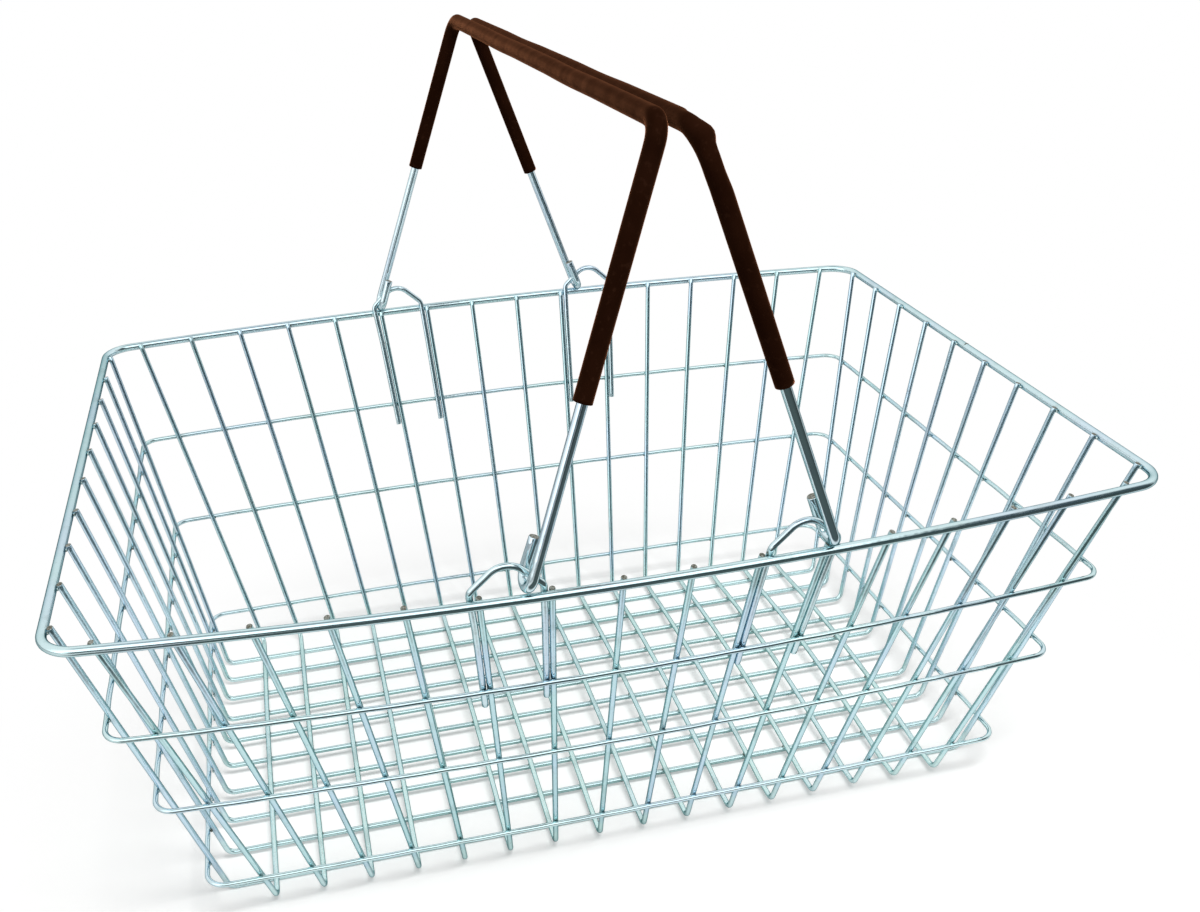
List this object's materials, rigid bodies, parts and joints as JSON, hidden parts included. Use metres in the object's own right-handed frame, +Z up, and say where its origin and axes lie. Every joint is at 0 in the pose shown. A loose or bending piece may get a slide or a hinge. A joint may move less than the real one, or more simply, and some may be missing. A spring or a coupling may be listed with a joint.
{
  "type": "wire shopping basket",
  "caption": "Open welded wire basket with sloping walls, a thick wire rim and two swinging wire handles with brown plastic grips, hung in wire hoops over the rim.",
  "frame": {"origin": "on the floor, under the middle of the basket", "axes": "+X along the basket towards the right end in the picture, +Y from the front wall to the back wall, +Z up"},
  "size_m": [0.46, 0.3534, 0.355],
  "materials": {
    "zinc_wire": "bright zinc plate on drawn steel wire",
    "brown_grip": "soft gloss brown plastic tube"
  },
  "bodies": {
    "basket": {"rim": "zinc_wire", "ring_upper": "zinc_wire", "ring_middle": "zinc_wire", "ring_lower": "zinc_wire", "cross_wire_01": "zinc_wire", "cross_wire_02": "zinc_wire", "cross_wire_03": "zinc_wire", "cross_wire_04": "zinc_wire", "cross_wire_05": "zinc_wire", "cross_wire_06": "zinc_wire", "cross_wire_07": "zinc_wire", "cross_wire_08": "zinc_wire", "cross_wire_09": "zinc_wire", "cross_wire_10": "zinc_wire", "cross_wire_11": "zinc_wire", "cross_wire_12": "zinc_wire", "cross_wire_13": "zinc_wire", "cross_wire_14": "zinc_wire", "cross_wire_15": "zinc_wire", "cross_wire_16": "zinc_wire", "long_wire_01": "zinc_wire", "long_wire_02": "zinc_wire", "long_wire_03": "zinc_wire", "long_wire_04": "zinc_wire", "long_wire_05": "zinc_wire", "long_wire_06": "zinc_wire", "long_wire_07": "zinc_wire", "long_wire_08": "zinc_wire", "long_wire_09": "zinc_wire", "long_wire_10": "zinc_wire", "hoop_front_left": "zinc_wire", "hoop_back_left": "zinc_wire", "hoop_front_right": "zinc_wire", "hoop_back_right": "zinc_wire"},
    "left_handle": {"handle_left": "zinc_wire", "grip_left": "brown_grip"},
    "right_handle": {"handle_right": "zinc_wire", "grip_right": "brown_grip"}
  },
  "joints": [
    {"name": "left_handle_swing", "type": "hinge", "parent": "basket", "child": "left_handle", "pos_m": [-0.06093, 0, 0.1883], "axis": [-0.0521, 0.9986, 0], "range_deg": [-108.4, 0]},
    {"name": "right_handle_swing", "type": "hinge", "parent": "basket", "child": "right_handle", "pos_m": [0.06093, 0, 0.1883], "axis": [-0.0521, 0.9986, 0], "range_deg": [0, 108.4]}
  ]
}
